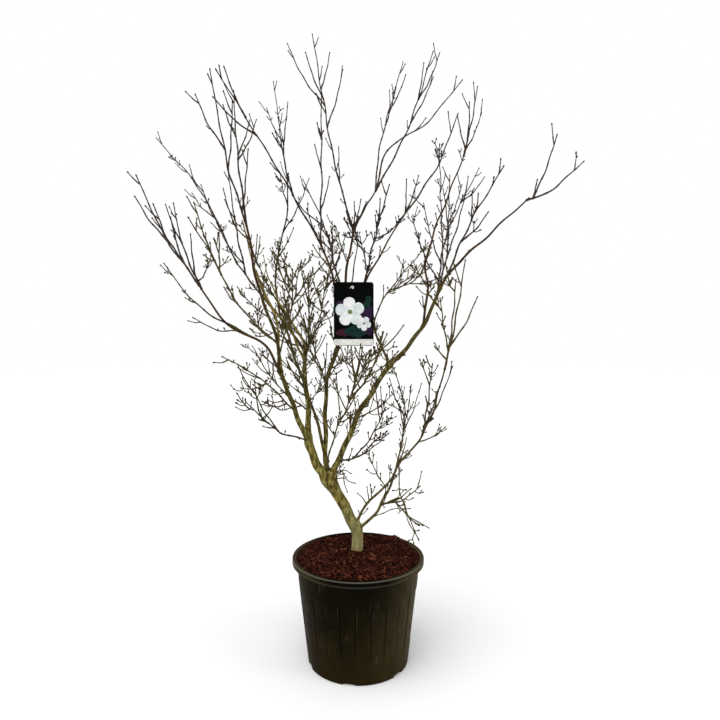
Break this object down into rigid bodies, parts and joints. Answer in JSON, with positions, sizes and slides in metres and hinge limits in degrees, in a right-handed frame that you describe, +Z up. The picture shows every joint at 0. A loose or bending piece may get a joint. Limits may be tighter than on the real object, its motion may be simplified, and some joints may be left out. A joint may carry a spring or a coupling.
{
  "type": "potted kousa dogwood tree in winter",
  "caption": "Leafless young dogwood tree with slim forking stems and fine twigs, standing in a round black nursery pot of bark compost, with a picture card tied to a bough.",
  "frame": {"origin": "middle of the pot's flat underside", "axes": "+Z up along the pot's axis, -Y towards the onlooker of the picture, +X to the onlooker's right"},
  "size_m": [1.6781, 1.0598, 2.4724],
  "materials": {
    "pot_plastic": "olive-black moulded plastic, satin, scuffed",
    "soil": "damp red-brown bark and coir chips",
    "olive_bark": "smooth mottled yellow-olive bark with pale lenticels",
    "brown_bark": "smooth red-brown bark turning olive at the foot",
    "twig_bark": "thin grey-brown twig bark with small pointed buds",
    "card": "printed plastic card, black with a pale flower picture"
  },
  "bodies": {
    "root": {"pot": "pot_plastic", "soil": "soil", "trunk": "olive_bark", "left_stem": "olive_bark", "left_bough": "olive_bark", "left_leader": "brown_bark", "low_left_bough": "brown_bark", "inner_left_bough": "olive_bark", "upper_left_bough": "brown_bark", "back_bough": "brown_bark", "middle_bough": "olive_bark", "centre_bough": "brown_bark", "upper_bough": "brown_bark", "centre_left_bough": "brown_bark", "inner_right_bough": "brown_bark", "right_bough": "olive_bark", "right_outer_bough": "olive_bark", "right_leader": "brown_bark", "far_right_bough": "brown_bark", "slim_inner_stem": "brown_bark", "slim_outer_stem": "brown_bark", "low_right_bough": "brown_bark", "low_left_sweep": "twig_bark", "far_left_spray": "twig_bark", "left_upright_spray": "twig_bark", "left_mid_spray": "twig_bark", "upper_left_sweep": "twig_bark", "upper_left_spray": "twig_bark", "left_top_spray": "twig_bark", "left_top_inner": "twig_bark", "rear_left_spray": "twig_bark", "inner_left_cluster": "twig_bark", "top_spray": "twig_bark", "upper_right_spray": "twig_bark", "upper_spray": "twig_bark", "upper_far_spray": "twig_bark", "crown_left_spray": "twig_bark", "vertical_shoot": "twig_bark", "crossing_shoot": "twig_bark", "centre_fan": "twig_bark", "card_twig": "twig_bark", "inner_right_spray": "twig_bark", "thin_upright_spray": "twig_bark", "right_top_spray": "twig_bark", "right_fan_inner": "twig_bark", "right_fan_middle": "twig_bark", "right_fan_outer": "twig_bark", "far_right_spray": "twig_bark", "low_right_inner_spray": "twig_bark", "right_low_spray": "twig_bark", "low_right_cluster": "twig_bark", "low_right_twig": "twig_bark", "low_left_spray": "twig_bark", "left_flat_spray": "twig_bark", "left_inner_twig": "twig_bark", "inner_spray": "twig_bark", "right_inner_spray": "twig_bark", "crossing_spray": "twig_bark", "inner_left_fan": "twig_bark", "picture_card": "card"}
  },
  "joints": []
}
